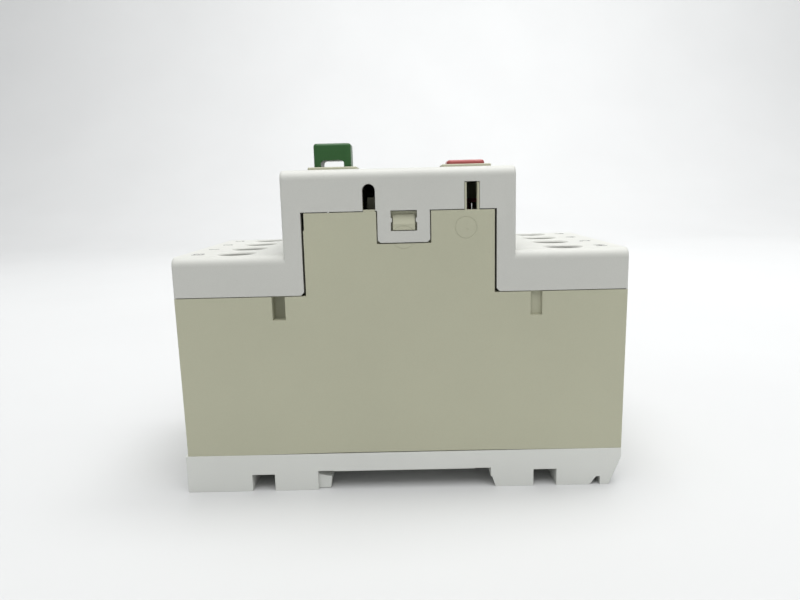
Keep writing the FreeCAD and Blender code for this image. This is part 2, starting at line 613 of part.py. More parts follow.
def make_casing():
    """The moulded body: side walls with tongues, end walls with wire entries, screw bosses."""
    casing = new_body("casing")
    outside = [("-casing_foot", "base_high"), ("-bow_left", "base_high"),
               ("-bow_middle", "base_high+foot_bow"), ("bow_middle", "base_high+foot_bow"),
               ("bow_right", "base_high"), ("casing_foot", "base_high"),
               ("casing_half", "parting"), ("tongue_half", "parting"), ("tongue_half", "tongue_top"),
               ("-nook_left", "tongue_top"), ("-nook_left", "nook_low"), ("-tongue_half", "nook_low"),
               ("-tongue_half", "parting"), ("-casing_half", "parting")]
    pad(casing, "XZ", "-shell_depth", "shell_depth", outside)
    round_off(casing, "casing_edge", lambda edge: abs(middle_of(edge).x) > 43
              and abs(middle_of(edge).y) > 22 and edge.BoundBox.ZLength > 20)
    cavity = [("-casing_foot+casing_wall", "base_high"), ("casing_foot-casing_wall", "base_high"),
              ("casing_half-casing_wall", "tongue_top"), ("-casing_half+casing_wall", "tongue_top")]
    pocket(casing, "XZ", "-shell_depth+casing_wall", "shell_depth-casing_wall", cavity)
    entries = []
    for pole in ALL_POLES:
        entries.append(rectangle(*around(pole, "entry_half"), "entry_low", "entry_top"))
    pocket(casing, "YZ", "-casing_half-over", "-casing_half+casing_wall+over", *entries)
    pocket(casing, "YZ", "casing_half-casing_wall-over", "casing_half+over", *entries)
    thick = rectangle("-groove_left_out-pit_wall", "-groove_left_in+pit_wall",
                      "groove_low-pit_wall", "parting")
    both_sides(casing, "(pit_deep+pit_wall)", [thick], pad)
    pit = rectangle("-groove_left_out", "-groove_left_in", "groove_low", "parting+bit")
    both_sides(casing, "pit_deep", [pit], pocket)
    groove = rectangle("groove_right_in", "groove_right_out", "groove_low", "parting+bit")
    both_sides(casing, "groove_deep", [groove], pocket)
    for across, up, radius in (("0.86", "51", "2.3"), ("12.75", "52.6", "2.15")):
        ring = [circle(across, up, radius), circle(across, up, "%s-ring_wide" % radius)]
        both_sides(casing, "ring_deep", ring, pocket)
    both_sides(casing, "ring_deep", [circle("13.05", "52.25", "0.25")], pocket)
    recess = rectangle("-tab_left-tab_gap", "tab_right+tab_gap", "tab_low-tab_gap", "tongue_top+bit")
    lug = rectangle("-lug_left", "lug_right", "lug_low", "lug_top")
    both_sides(casing, "(tab_thick+0.15)", [recess, lug], pocket)
    for side in ("-", ""):
        ramp = [(side + "shell_depth", "lug_low+lug_ramp"), (side + "shell_depth", "lug_top+bit"),
                (side + "(shell_depth-tab_thick+bit)", "lug_top+bit")]
        pocket(casing, "YZ", "-lug_left-0.05", "lug_right+0.05", ramp)
    # rim walls in the square slot and a lip in the round one, on the near side only
    rims = []
    for low in ("port_left+rim_play", "port_right-rim_play-port_rim"):
        rims.append(rectangle(low, "%s+port_rim" % low, "tongue_top-port_root", "port_top-bit"))
    lip = rectangle("-slit_left+rim_play", "-slit_right-rim_play",
                    "tongue_top-port_root", "cutout_top+lip_rise")
    pad(casing, "XZ", "-shell_depth+bit", "-shell_depth+casing_wall", *rims, lip)
    # a stop bracket deep inside, which shows through the round slot
    inner_face = "-shell_depth+casing_wall"
    pad(casing, "XZ", inner_face, "%s+bracket_reach" % inner_face,
        rectangle("-bracket_out", "-bracket_in", "tongue_top-bracket_root",
                  "tongue_top-bracket_floor"))
    pad(casing, "XZ", "%s+bracket_reach-bracket_thick" % inner_face, "%s+bracket_reach" % inner_face,
        rectangle("-bracket_out", "-bracket_in", "tongue_top-bracket_floor-bit", "bracket_top"))
    # a rib behind the far tongue that closes the gap over it
    pad(casing, "XZ", "shell_depth-casing_wall-far_rib_thick", "shell_depth-casing_wall",
        rectangle("-tongue_half+1", "tongue_half-1", "tongue_top-bracket_root",
                  "cutout_top+far_rib"))
    pad(casing, "XY", "boss_low", "boss_top", *screw_circles("boss_radius"))
    for across in ("-screw_left", "screw_right"):
        for low, high in (("-shell_depth+1", "-screw_side-1.6"), ("screw_side+1.6", "shell_depth-1")):
            pad(casing, "XY", "boss_low", "boss_top", rectangle(*around(across, "boss_rib"), low, high))
    pocket(casing, "XY", "boss_low", "screw_top+0.3", *screw_circles("screw_shank+0.02"))
    # the blind bearing of the trip bar
    pocket(casing, "XZ", "shell_depth-casing_wall", "shell_depth-casing_wall+1",
           circle("bar_place", "bar_high", "bar_radius+bar_play"))


def make_cover():
    """The stepped front cover: wings over the terminals, a tower round the mechanism."""
    cover = new_body("cover")
    outside = [("-cover_half", "parting"), ("-cover_half", "wing_top"), ("-tower_half", "wing_top"),
               ("-tower_half", "tower_top"), ("tower_half", "tower_top"), ("tower_half", "wing_top"),
               ("cover_half", "wing_top"), ("cover_half", "parting")]
    pad(cover, "XZ", "-shell_depth", "shell_depth", outside)
    round_off(cover, "brow_round", is_brow)
    round_off(cover, "end_round", is_end_edge)
    inside = [("-cover_half+cover_wall", "parting"), ("-cover_half+cover_wall", "wing_top-cover_wall"),
              ("-tower_half+cover_wall", "wing_top-cover_wall"),
              ("-tower_half+cover_wall", "tower_top-cover_wall"),
              ("tower_half-cover_wall", "tower_top-cover_wall"),
              ("tower_half-cover_wall", "wing_top-cover_wall"),
              ("cover_half-cover_wall", "wing_top-cover_wall"), ("cover_half-cover_wall", "parting")]
    pocket(cover, "XZ", "-shell_depth+cover_wall", "shell_depth-cover_wall", inside)
    cutout = [("-cutout_half-leg_corner", "parting"), ("cutout_half+leg_corner", "parting"),
              ("cutout_half+leg_corner", "parting+seam"), ("cutout_half", "parting+seam+leg_corner"),
              ("cutout_half", "cutout_top"), ("-cutout_half", "cutout_top"),
              ("-cutout_half", "parting+seam+leg_corner"),
              ("-cutout_half-leg_corner", "parting+seam")]
    seams = [rectangle("-cover_half+0.5", "-cutout_half-leg_corner+bit", "parting", "parting+seam"),
             rectangle("cutout_half+leg_corner-bit", "cover_half-0.5", "parting", "parting+seam")]
    slit = rectangle("-slit_left", "-slit_right", "cutout_top-over", "slit_top-(slit_left-slit_right)/2")
    port = rectangle("port_left", "port_right", "cutout_top-over", "port_top")
    slit_end = circle("-(slit_left+slit_right)/2", "slit_top-(slit_left-slit_right)/2",
                      "(slit_left-slit_right)/2")
    skin = "(cover_wall+0.05)"
    both_sides(cover, skin, [cutout], pocket)
    both_sides(cover, skin, seams, pocket)
    for loop in (slit, port, slit_end):
        pocket(cover, "XZ", "-shell_depth", "-shell_depth+%s" % skin, loop)
    tab = [("-tab_left", "cutout_top+0.4"), ("-tab_left", "tab_low+0.5"), ("-tab_left+0.5", "tab_low"),
           ("tab_right-0.5", "tab_low"), ("tab_right", "tab_low+0.5"), ("tab_right", "cutout_top+0.4")]
    window = [("-window_left", "window_low"), ("-window_left", "53.8"), ("-window_left+0.25", "54"),
              ("-window_left+0.25", "54.6"), ("-window_left", "54.8"), ("-window_left", "cutout_top"),
              ("window_right", "cutout_top"), ("window_right", "54.8"), ("window_right-0.25", "54.6"),
              ("window_right-0.25", "54"), ("window_right", "53.8"), ("window_right", "window_low")]
    both_sides(cover, "tab_thick", [tab, window], pad)
    collars = []
    holes = []
    for across in ("-terminal_place", "terminal_place"):
        for pole in ALL_POLES:
            collars.append(circle(across, pole, "collar_radius"))
            holes.append(circle(across, pole, "driver_hole"))
    pad(cover, "XY", "collar_low", "wing_top-cover_wall+bit", *collars)
    pocket(cover, "XY", "collar_low", "wing_top", *holes)
    round_off(cover, "hole_edge", lambda edge: is_circle(edge, SIZES["driver_hole"])
              and abs(middle_of(edge).z - SIZES["wing_top"]) < 1e-6, "Chamfer")
    cup_floor = "dial_low-dial_play"
    cup = circle("0", "0", "dial_radius+dial_play+cup_wall")
    pad(cover, "XY", "%s-cup_wall" % cup_floor, "tower_top-cover_wall+bit", cup)
    pocket(cover, "XY", cup_floor, "tower_top", circle("0", "0", "dial_radius+dial_play"))
    pocket(cover, "XY", "%s-cup_wall" % cup_floor, "dial_low",
           circle("0", "0", "dial_stem+dial_stem_play"))
    for middle in ("-start_place", "stop_place"):
        pocket(cover, "XY", "tower_top-cover_wall", "tower_top",
               rectangle(*around(middle, "button_half+bezel_play+bezel_wall+bit"),
                         *around("0", "button_side+bezel_play+bezel_wall+bit")))


def is_brow(edge):
    """True for the upper edges of the wings and the tower that run along X."""
    return runs_along(edge, 0) and middle_of(edge).z > SIZES["parting"] + 0.01


def is_end_edge(edge):
    """True for the edges round the four end faces, except the underside and the two inner steps."""
    size = edge.BoundBox
    centre = size.Center
    on_end = size.XLength < 1e-6 and min(abs(abs(centre.x) - SIZES[name])
                                         for name in ("cover_half", "tower_half")) < 1e-6
    at_step = abs(abs(centre.x) - SIZES["tower_half"]) < 1e-6 and size.ZMin < SIZES["wing_top"] + 0.01
    along_step = at_step and size.ZMax < SIZES["wing_top"] + 0.01
    return on_end and centre.z > SIZES["parting"] + 0.01 and not along_step


# ---------------------------------------------------------------- buttons, bezels and dial

def make_bezel(label, middle):
    """The guide frame in which a button slides."""
    bezel = new_body(label)
    bore = rectangle(*around(middle, "button_half+bezel_play"), *around("0", "button_side+bezel_play"))
    pad(bezel, "XY", "tower_top", "bezel_top",
        rectangle(*around(middle, "bezel_half"), *around("0", "bezel_side")))
    round_off(bezel, "bezel_corner", lambda edge: runs_along(edge, 2))
    round_off(bezel, "bezel_edge", lambda edge: abs(middle_of(edge).z - SIZES["bezel_top"]) < 1e-6)
    pad(bezel, "XY", "bezel_low", "tower_top+bit",
        rectangle(*around(middle, "button_half+bezel_play+bezel_wall"),
                  *around("0", "button_side+bezel_play+bezel_wall")))
    pocket(bezel, "XY", "bezel_low", "bezel_top", bore)


def make_button(label, middle, top, stem_low, sign, has_lock):
    """A push button: a rounded cap with a sunk sign, on a round stem."""
    button = new_body(label)
    pad(button, "XY", "%s-button_high" % top, top,
        rectangle(*around(middle, "button_half"), *around("0", "button_side")))
    round_off(button, "button_round", lambda edge: runs_along(edge, 2))
    round_off(button, "button_edge", lambda edge: abs(middle_of(edge).z - SIZES[top]) < 1e-6)
    if has_lock:
        pocket(button, "XZ", "-button_side-over", "button_side+over",
               rectangle(*around(middle, "lock_half"), "lock_low", "lock_top"))
        round_off(button, "lock_corner", lambda edge: runs_along(edge, 1)
                  and abs(middle_of(edge).z - SIZES["lock_top"]) < 1e-6)
    pocket(button, "XY", "%s-sign_deep" % top, top, *sign)
    pad(button, "XY", stem_low, "%s-button_high+bit" % top, circle(middle, "0", "stem_radius"))


def spiral_radius(angle):
    """Radius of the cam: it rises evenly over the working turn, then falls back smoothly."""
    turn = SIZES["cam_turn"]
    if angle <= turn:
        return SIZES["cam_radius"] + SIZES["cam_rise"] * angle / turn
    fall = (angle - turn) / (360 - turn)
    return SIZES["cam_radius"] + SIZES["cam_rise"] * (1 + math.cos(math.pi * fall)) / 2


def make_dial():
    """The current-setting dial: a slotted head, a stem and a spiral cam."""
    head = doc.addObject("PartDesign::Body", "dial_head")
    pad(head, "XY", "dial_low", "dial_top", circle("0", "0", "dial_radius"))
    round_off(head, "dial_edge", lambda edge: abs(middle_of(edge).z - SIZES["dial_top"]) < 1e-6, "Chamfer")
    pad(head, "XY", "cam_low", "dial_low+bit", circle("0", "0", "dial_stem"))
    pocket(head, "XY", "dial_top-dial_slot_deep", "dial_top",
           rectangle("-dial_slot_half", "dial_slot_half", "-dial_slot_long", "dial_slot_long"))
    step = 15
    points = []
    for angle in range(0, 360, step):
        radius = spiral_radius(angle)
        turn = math.radians(angle)
        points.append(Vector(radius * math.cos(turn), radius * math.sin(turn), SIZES["cam_low"]))
    outline = Part.BSplineCurve()
    outline.interpolate(Points=points, PeriodicFlag=True)
    face = Part.Face(Part.Wire([outline.toShape()]))
    cam = doc.addObject("Part::Feature", "dial_cam")
    cam.Shape = face.extrude(Vector(0, 0, SIZES["cam_top"] - SIZES["cam_low"]))
    join("current_dial", [head, cam])


def make_setting_slide():
    """The slide that the dial's cam moves, which sets how far the bimetals must bend."""
    slide = new_body("setting_slide")
    face = "cam_radius+slide_gap"
    plate_end = "%s+slide_face" % face
    pad(slide, "XY", "cam_low", "cam_top", [
        (face, "-slide_low_side"), (plate_end, "-slide_low_side"), (plate_end, "slide_arm_low"),
        ("slide_end", "slide_arm_low"), ("slide_end", "slide_arm_high"), (face, "slide_arm_high")])
    pad(slide, "YZ", "slide_end-slide_leg", "slide_end",
        rectangle("slide_arm_low", "slide_arm_high", "frame_low+slide_leg_gap", "cam_low+bit"))
    round_off(slide, "slide_edge", lambda edge: runs_along(edge, 2))


# ---------------------------------------------------------------- mechanism

def make_mechanism_frame():
    """A folded steel bracket that carries the rocker pin and the latch lever."""
    frame = new_body("mechanism_frame")
    bottom = "frame_low+frame_sheet"
    pad(frame, "XY", "frame_low", bottom,
        rectangle("-frame_half", "frame_half", "-frame_inside-frame_sheet", "frame_inside+frame_sheet"))
    cheek = [("-frame_half", "frame_low"), ("frame_half", "frame_low"), ("frame_half", "latch_high+2"),
             ("3.5", "frame_top"), ("-3.5", "frame_top"), ("-frame_half", "latch_high+2")]
    pad(frame, "XZ", "-frame_inside-frame_sheet", "-frame_inside", cheek)
    pad(frame, "XZ", "frame_inside", "frame_inside+frame_sheet", cheek)
    for low, high in (("-shell_depth+casing_wall+0.2", "-frame_inside"),
                      ("frame_inside", "shell_depth-casing_wall-0.2")):
        pad(frame, "XY", "frame_low", bottom, rectangle("2", "8", low, high))
    pocket(frame, "XY", "frame_low", bottom,
           rectangle(*around("-carrier_place", "push_half+0.5"), *around("0", "push_side+0.4")))
    reach = "frame_inside+frame_sheet+0.1"
    pocket(frame, "XZ", "-(%s)" % reach, reach, circle("0", "pivot_high", "pin_radius"))
    pocket(frame, "XZ", "-(%s)" % reach, reach,
           circle("latch_place", "latch_high", "latch_pin+pin_play"))


def make_rocker():
    """The rocker that ties the buttons together; it is drawn level and then tilted."""
    pin = new_body("rocker_pin")
    pad(pin, "XZ", "-frame_inside-frame_sheet-pin_end", "frame_inside+frame_sheet+pin_end",
        circle("0", "pivot_high", "pin_radius"))
    round_off(pin, "pin_edge", lambda edge: is_circle(edge, SIZES["pin_radius"]), "Chamfer")
    rocker = new_body("rocker")
    beam = rectangle("-rocker_arm", "rocker_arm", "-rocker_half", "rocker_half")
    pad(rocker, "XZ", "-rocker_side", "rocker_side", beam)
    for middle in ("-rocker_arm", "rocker_arm"):
        pad(rocker, "XZ", "-rocker_side", "rocker_side", circle(middle, "0", "roller_radius"))
    pad(rocker, "XZ", "-frame_inside+hub_gap", "frame_inside-hub_gap", circle("0", "0", "rocker_hub"))
    pocket(rocker, "XZ", "-frame_inside", "frame_inside", circle("0", "0", "pin_radius+pin_play"))
    rocker.Placement = Placement(Vector(), Rotation(Vector(0, 1, 0), SIZES["rocker_tilt"]))
    bind(rocker, "Placement.Base.z", "pivot_high")
    bind(rocker, "Placement.Rotation.Angle", "rocker_tilt")


def make_latch_lever():
    """The lever that the trip bar holds until the breaker trips."""
    lever = new_body("latch_lever")
    pad(lever, "XZ", "-frame_inside-frame_sheet", "frame_inside+frame_sheet",
        circle("latch_place", "latch_high", "latch_pin"))
    pad(lever, "XZ", "-frame_inside+hub_gap", "frame_inside-hub_gap",
        circle("latch_place", "latch_high", "latch_pin+0.6"))
    pad(lever, "XZ", "-latch_half", "latch_half",
        rectangle("latch_place", "latch_end", "latch_high-latch_thick", "latch_high+latch_thick"))


def make_trip_bar():
    """The bar along the main poles: an arm over each plunger, a tail at each bimetal, one catch."""
    bar = new_body("trip_bar")
    pad(bar, "XZ", "-pole_pitch-0.5", "shell_depth-casing_wall+0.8",
        circle("bar_place", "bar_high", "bar_radius"))
    for pole in MAIN_POLES:
        pad(bar, "XZ", *around(pole, "arm_half"),
            rectangle("coil_place-arm_past", "bar_place", "bar_high-arm_thick", "bar_high+bit"))
        pad(bar, "XZ", *around(pole, "tail_half"),
            rectangle("bar_place-tail_thick", "bar_place+tail_thick", "bar_high-tail_long", "bar_high"))
    catch = [("latch_end+0.4", "latch_high+0.3"), ("latch_end+1.5", "latch_high+0.3"),
             ("bar_place+0.8", "bar_high"), ("bar_place-0.8", "bar_high")]
    pad(bar, "XZ", "-tail_half", "tail_half", catch)


def make_contact_carrier():
    """The moulded carrier: a push rod, a beam across the poles and a windowed stem at each pole."""
    carrier = new_body("contact_carrier")
    pad(carrier, "XY", "window_top", "beam_top",
        rectangle(*around("-carrier_place", "stem_half"), "-beam_half", "beam_half"))
    pad(carrier, "XY", "beam_top-0.5", "push_top",
        rectangle(*around("-carrier_place", "push_half"), "-push_side", "push_side"))
    for pole in ALL_POLES:
        pad(carrier, "XY", "stem_low", "window_top+0.5",
            rectangle(*around("-carrier_place", "stem_half"), *around(pole, "stem_side")))
    windows = []
    for pole in ALL_POLES:
        windows.append(rectangle(*around(pole, "stem_window"), "stem_low+1.05", "window_top"))
    pocket(carrier, "YZ", "-carrier_place-stem_half-over", "-carrier_place+stem_half+over", *windows)


def make_carrier_spring():
    """The spring that lifts the contact carrier off, on its seat at the middle partition."""
    coil("carrier_spring", "-carrier_place", "0", ("stem_low+0.35", "window_top-0.3"), 5, "1.5", "0.25")


def make_bridge(label, spring_label, pole):
    """One double-break contact bridge and its pressure spring."""
    low = "stem_low+1.1"
    bridge = new_body(label)
    pad(bridge, "XY", low, "%s+bridge_thick" % low,
        rectangle(*around("-carrier_place", "bridge_half"), *around(pole, "stem_window-0.45")))
    tips = [circle("-carrier_place-tip_reach", pole, "tip_radius"),
            circle("-carrier_place+tip_reach", pole, "tip_radius")]
    pad(bridge, "XY", "%s-tip_thick" % low, "%s+bit" % low, *tips)
    coil(spring_label, "-carrier_place", pole,
         ("%s+bridge_thick+0.3" % low, "window_top-0.3"), 4, "1.2", "0.22")


FIXED_TIP_TOP = "stem_low+1.1-tip_thick-contact_gap"


def make_line_terminal(label, pole):
    """A line-side strip: terminal plate, down leg and the left fixed contact."""
    strip = new_body(label)
    arm_top = "%s-tip_thick" % FIXED_TIP_TOP
    arm_low = "%s-strip_thick" % arm_top
    pad(strip, "XZ", *around(pole, "strip_half"), [
        ("-strip_out", "strip_low"), ("-strip_out", "strip_low+strip_thick"),
        ("-strip_in", "strip_low+strip_thick"), ("-strip_in", arm_top),
        ("-carrier_place-stem_half-strip_gap", arm_top), ("-carrier_place-stem_half-strip_gap", arm_low),
        ("-strip_in-strip_thick", arm_low), ("-strip_in-strip_thick", "strip_low")])
    pad(strip, "XY", "%s-bit" % arm_top, FIXED_TIP_TOP,
        circle("-carrier_place-tip_reach", pole, "tip_radius"))


def make_coil_terminal(label, pole, reach):
    """A strip with the right fixed contact that leads on towards the load side."""
    strip = new_body(label)
    arm_top = "%s-tip_thick" % FIXED_TIP_TOP
    arm_low = "%s-strip_thick" % arm_top
    inner = "-carrier_place+stem_half+strip_gap"
    outline = [(inner, arm_top), (inner, arm_low), (reach, arm_low), (reach, arm_top)]
    if reach == "strip_in":
        outline = [(inner, arm_top), (inner, arm_low), ("strip_in+strip_thick", arm_low),
                   ("strip_in+strip_thick", "strip_low"), ("strip_out", "strip_low"),
                   ("strip_out", "strip_low+strip_thick"), ("strip_in", "strip_low+strip_thick"),
                   ("strip_in", arm_top)]
    pad(strip, "XZ", *around(pole, "strip_half"), outline)
    pad(strip, "XY", "%s-bit" % arm_top, FIXED_TIP_TOP,
        circle("-carrier_place+tip_reach", pole, "tip_radius"))


def make_load_terminal(label, pole):
    """A load-side strip: terminal plate, down leg and the foot that carries the bimetal."""
    strip = new_body(label)
    pad(strip, "XZ", *around(pole, "strip_half"), [
        ("strip_out", "strip_low"), ("strip_out", "strip_low+strip_thick"),
        ("strip_in", "strip_low+strip_thick"), ("strip_in", "bimetal_low"),
        ("bimetal_left-foot_reach", "bimetal_low"), ("bimetal_left-foot_reach", "bimetal_low-strip_thick"),
        ("strip_in+strip_thick", "bimetal_low-strip_thick"), ("strip_in+strip_thick", "strip_low")])


def make_arc_chute(label, pole):
    """A stack of steel arc-splitting plates between two fibre cheeks."""
    chute = new_body(label)
    low, high = around(pole, "chute_half")
    for side_low, side_high in ((low, "%s+cheek" % low), ("%s-cheek" % high, high)):
        pad(chute, "XZ", side_low, side_high,
            rectangle("-chute_left", "-chute_right", "chute_low", "chute_top"))
    plate_count = 6
    fins = []
    for number in range(plate_count):
        fin_low = "chute_low+0.6+%d*(chute_top-chute_low-0.6)/%d" % (number, plate_count)
        fins.append(rectangle("-chute_left+0.3", "-chute_right-0.3", fin_low, "%s+fin" % fin_low))
    pad(chute, "XZ", "%s+cheek" % low, "%s-cheek" % high, *fins)


def make_release(number, pole):
    """The releases of one pole: coil, bobbin and plunger, then bimetal and heater."""
    coil("trip_coil_%d" % number, "coil_place", pole,
         ("bobbin_low+coil_inset", "bobbin_top-coil_inset"), 6, "coil_radius", "coil_wire")
    bobbin = new_body("coil_bobbin_%d" % number)
    for low, high in (("bobbin_low", "bobbin_low+flange_thick"),
                      ("bobbin_top-flange_thick", "bobbin_top")):
        pad(bobbin, "XY", low, high, circle("coil_place", pole, "bobbin_flange"))
    pad(bobbin, "XY", "bobbin_low+bit", "bobbin_top-bit", circle("coil_place", pole, "bobbin_tube"))
    pocket(bobbin, "XY", "bobbin_low", "bobbin_top", circle("coil_place", pole, "bobbin_bore"))
    plunger = new_body("magnet_plunger_%d" % number)
    pad(plunger, "XY", "plunger_low", "plunger_top", circle("coil_place", pole, "bobbin_bore-plunger_play"))
    pad(plunger, "XY", "plunger_top-bit", "rod_top", circle("coil_place", pole, "rod_radius"))
    bimetal = new_body("bimetal_%d" % number)
    pad(bimetal, "XY", "bimetal_low", "bimetal_top",
        rectangle("bimetal_left", "bimetal_left+bimetal_thick", *around(pole, "bimetal_half")))
    coil("heater_winding_%d" % number, "bimetal_left+bimetal_thick/2", pole,
         ("bimetal_low+1.2", "bimetal_top-5"), 9, "heater_radius", "heater_wire")


def make_terminal_hardware():
    """Eight clamp screws and eight clamp cages, each set as one group."""
    screws = new_body("terminal_screws")
    cages = new_body("terminal_clamps")
    shanks, heads, slots, frames, openings, bores = [], [], [], [], [], []
    for side in ("-", ""):
        for pole in ALL_POLES:
            place_name = side + "terminal_place"
            shanks.append(circle(place_name, pole, "post_radius"))
            heads.append(circle(place_name, pole, "post_head"))
            slots.append(rectangle(*around(place_name, "post_slot"), *around(pole, "post_head+bit")))
            limits = (side + "cage_out", side + "cage_in")
            frames.append(rectangle(*limits, *around(pole, "cage_half")))
            bores.append(circle(place_name, pole, "post_radius+post_play"))
    for pole in ALL_POLES:
        openings.append(rectangle(*around(pole, "cage_half-cage_wall"),
                                  "cage_low+cage_wall", "cage_top-cage_wall"))
    pad(screws, "XY", "cage_top+bit", "post_top", *heads)
    pad(screws, "XY", "strip_low+strip_thick+0.05", "cage_top+bit*2", *shanks)
    pocket(screws, "XY", "post_top-post_slot_deep", "post_top", *slots)
    pad(cages, "XY", "cage_low", "cage_top", *frames)
    pocket(cages, "YZ", "-cage_out-over", "cage_out+over", *openings)
    pocket(cages, "XY", "cage_top-cage_wall-bit", "cage_top", *bores)


def make_partition(number, along):
    """A wall between two poles, notched for the contact carrier and the trip bar."""
    wall = new_body("pole_partition_%d" % number)
    carrier_left, carrier_right = around("-carrier_place", "stem_half+1")
    rim_clear, rim_inside = "rim_top+0.1", "(rim_half_long-rim_wall-0.1)"
    outline = [("-" + rim_inside, "wall_low"), ("-" + rim_inside, rim_clear), ("-wall_end", rim_clear),
               ("-wall_end", "wall_top"), (carrier_left, "wall_top"),
               (carrier_left, "stem_low"), (carrier_right, "stem_low"), (carrier_right, "wall_top")]
    if number > 1:
        outline += [("bar_place-bar_clear", "wall_top"), ("bar_place-bar_clear", "bar_high-bar_drop"),
                    ("bar_place+bar_clear", "bar_high-bar_drop"), ("bar_place+bar_clear", "wall_top")]
    outline += [("wall_end", "wall_top"), ("wall_end", rim_clear), (rim_inside, rim_clear),
                (rim_inside, "wall_low")]
    pad(wall, "XZ", *around(along, "wall_half"), outline)
    if number == 1:
        pocket(wall, "XZ", *around(along, "wall_half+0.1"),
               circle("bar_place", "bar_high", "bar_radius+bar_play"))
    if number == 2:
        pad(wall, "XY", "stem_low-1", "stem_low",
            rectangle(*around("-carrier_place", "stem_half+0.2"), "-2.1", "2.1"))


# ---------------------------------------------------------------- the whole breaker

make_base()
make_base_screws()
make_din_clip()
make_casing()
make_cover()
make_bezel("start_bezel", "-start_place")
make_bezel("stop_bezel", "stop_place")
STEM_FOOT = "pivot_high+roller_radius+stem_gap"
STROKE = rectangle(*around("-start_place", "sign_wide/2"), "-sign_half", "sign_half")
RING = [circle("stop_place", "0", "sign_half"), circle("stop_place", "0", "sign_half-sign_wide")]
make_button("start_button", "-start_place", "start_top", STEM_FOOT + "+roller_lift", [STROKE], True)
make_button("stop_button", "stop_place", "stop_top", STEM_FOOT + "-roller_lift", RING, False)
make_dial()
make_setting_slide()
make_mechanism_frame()
make_rocker()
make_latch_lever()
make_trip_bar()
make_contact_carrier()
make_carrier_spring()
make_bridge("aux_contact_bridge", "aux_contact_spring", AUX_POLE)
make_line_terminal("aux_line_terminal", AUX_POLE)
make_coil_terminal("aux_load_terminal", AUX_POLE, "strip_in")
for pole_number, pole_place in enumerate(MAIN_POLES, start=1):
    make_bridge("contact_bridge_%d" % pole_number, "contact_spring_%d" % pole_number, pole_place)
    make_line_terminal("line_terminal_%d" % pole_number, pole_place)
    make_coil_terminal("coil_terminal_%d" % pole_number, pole_place, "coil_place-bobbin_flange-0.3")
    make_load_terminal("load_terminal_%d" % pole_number, pole_place)
    make_arc_chute("arc_chute_%d" % pole_number, pole_place)
    make_release(pole_number, pole_place)
make_terminal_hardware()
for wall_number, wall_place in enumerate(("-pole_pitch", "0", "pole_pitch"), start=1):
    make_partition(wall_number, wall_place)

doc.recompute()
for item in doc.Objects:
    if "Invalid" in item.State or "Error" in item.State:
        raise RuntimeError("%s failed: %s" % (item.Label, item.State))
for node in NODES:
    if node.Shape.isNull() or not node.Shape.isValid():
        raise RuntimeError("%s has no valid shape" % node.Label)
os.makedirs("parts", exist_ok=True)
for node in NODES:
    node.Shape.exportStep(os.path.join("parts", node.Label + ".step"))
print("wrote %d sub-parts" % len(NODES))
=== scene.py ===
import json
import math
import bmesh
import bpy
from mathutils import Matrix, Vector


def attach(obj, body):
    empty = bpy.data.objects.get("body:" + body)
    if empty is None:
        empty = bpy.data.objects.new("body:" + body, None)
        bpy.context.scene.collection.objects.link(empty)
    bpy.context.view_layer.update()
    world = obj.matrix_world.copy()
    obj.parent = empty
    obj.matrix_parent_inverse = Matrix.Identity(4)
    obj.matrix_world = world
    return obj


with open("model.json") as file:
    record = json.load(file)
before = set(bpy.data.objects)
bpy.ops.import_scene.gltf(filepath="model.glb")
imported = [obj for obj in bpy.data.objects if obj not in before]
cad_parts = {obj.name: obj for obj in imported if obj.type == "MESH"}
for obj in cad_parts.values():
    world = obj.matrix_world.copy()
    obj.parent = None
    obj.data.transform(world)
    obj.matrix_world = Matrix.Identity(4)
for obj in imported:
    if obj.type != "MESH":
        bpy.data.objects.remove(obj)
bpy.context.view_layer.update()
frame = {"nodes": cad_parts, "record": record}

MM = 0.001
POLE_PITCH = 11.3 * MM
POLES = [POLE_PITCH * step for step in (-1.5, -0.5, 0.5, 1.5)]
PAINT = 0.03 * MM          # thickness of printed marks
SIGN_FILL = 0.12 * MM      # depth of the paint in the sunk signs of the buttons
SIGN_WIDTH, SIGN_LENGTH = 0.98, 0.99     # the paint's share of the sunk sign
NOISE_LOW, NOISE_HIGH = 0.3, 0.7         # the band that most of a noise pattern falls in


# ---------------------------------------------------------------- camera, floor and light

def set_camera():
    """A short lens close to the side face, a little above the wings and tilted down."""
    place = Vector((0.81, -144.64, 60.02)) * MM
    yaw, pitch, roll = (math.radians(angle) for angle in (-0.425, 9.789, 1.376))
    forward = Vector((math.sin(yaw) * math.cos(pitch), math.cos(yaw) * math.cos(pitch), -math.sin(pitch)))
    level = Vector((math.cos(yaw), -math.sin(yaw), 0))
    down = forward.cross(level)
    right = math.cos(roll) * level + math.sin(roll) * down
    up = math.sin(roll) * level - math.cos(roll) * down
    turn = Matrix((right, up, -forward)).transposed()
    data = bpy.data.cameras.new("camera")
    data.sensor_width = 36
    data.lens = 28.8
    data.clip_start = 0.01
    camera = bpy.data.objects.new("camera", data)
    camera.matrix_world = Matrix.Translation(place) @ turn.to_4x4()
    bpy.context.scene.collection.objects.link(camera)
    bpy.context.scene.camera = camera


